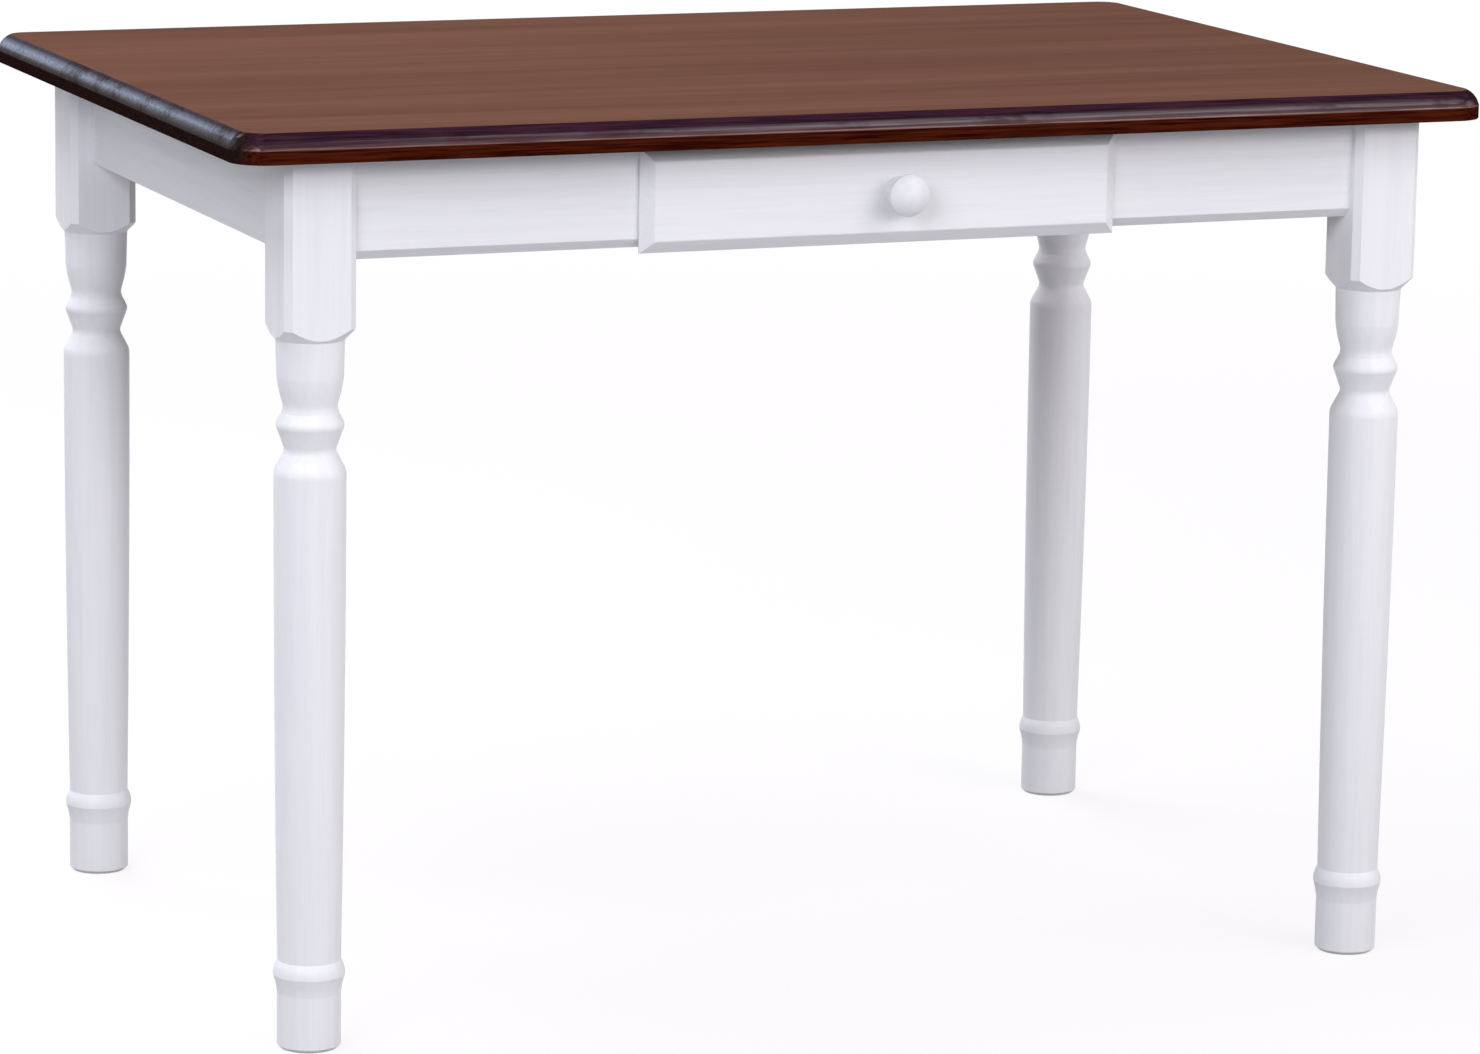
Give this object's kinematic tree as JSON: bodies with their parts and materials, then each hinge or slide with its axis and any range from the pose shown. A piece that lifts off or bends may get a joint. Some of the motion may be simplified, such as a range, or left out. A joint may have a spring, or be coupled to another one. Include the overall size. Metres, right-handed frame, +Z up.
{
  "type": "kitchen table",
  "caption": "Rectangular dining table on turned legs, with aprons, a thumbnail-edged solid top and a shallow pull-out drawer with a turned knob under the front edge",
  "frame": {"origin": "on the floor, under the middle of the top", "axes": "+X runs along the table to the right of someone facing the drawer, +Y runs from the drawer's side to the back, +Z is up"},
  "size_m": [1.14, 0.76, 0.78],
  "materials": {
    "stained_wood": "walnut-brown stain under satin lacquer, with a darker mahogany edge",
    "painted_wood": "satin white paint, with the grain just telling through it",
    "bare_wood": "planed softwood, unfinished",
    "plywood": "thin birch plywood, unfinished",
    "dowel_wood": "fluted beech dowel, unfinished",
    "zinc_steel": "bright zinc-plated steel"
  },
  "bodies": {
    "table": {"table_top": "stained_wood", "leg_front_left": "painted_wood", "leg_front_right": "painted_wood", "leg_back_left": "painted_wood", "leg_back_right": "painted_wood", "apron_front": "painted_wood", "apron_back": "painted_wood", "apron_left": "painted_wood", "apron_right": "painted_wood", "corner_block_front_left": "bare_wood", "corner_block_front_right": "bare_wood", "corner_block_back_left": "bare_wood", "corner_block_back_right": "bare_wood", "hanger_bolts": "zinc_steel", "bolt_washers": "zinc_steel", "bolt_nuts": "zinc_steel", "corner_block_screws": "zinc_steel", "top_brackets": "zinc_steel", "bracket_screws": "zinc_steel", "drawer_runner_left": "bare_wood", "drawer_runner_right": "bare_wood", "runner_screws": "zinc_steel", "drawer_stop": "bare_wood", "stop_screw": "zinc_steel"},
    "drawer": {"drawer_front": "painted_wood", "drawer_side_left": "bare_wood", "drawer_side_right": "bare_wood", "drawer_back": "bare_wood", "drawer_bottom": "plywood", "drawer_dowels": "dowel_wood", "drawer_knob": "painted_wood", "knob_screw": "zinc_steel"}
  },
  "joints": [
    {"name": "drawer_slide", "type": "slide", "parent": "table", "child": "drawer", "axis": [0, -1, 0], "range_m": [0, 0.3]}
  ]
}
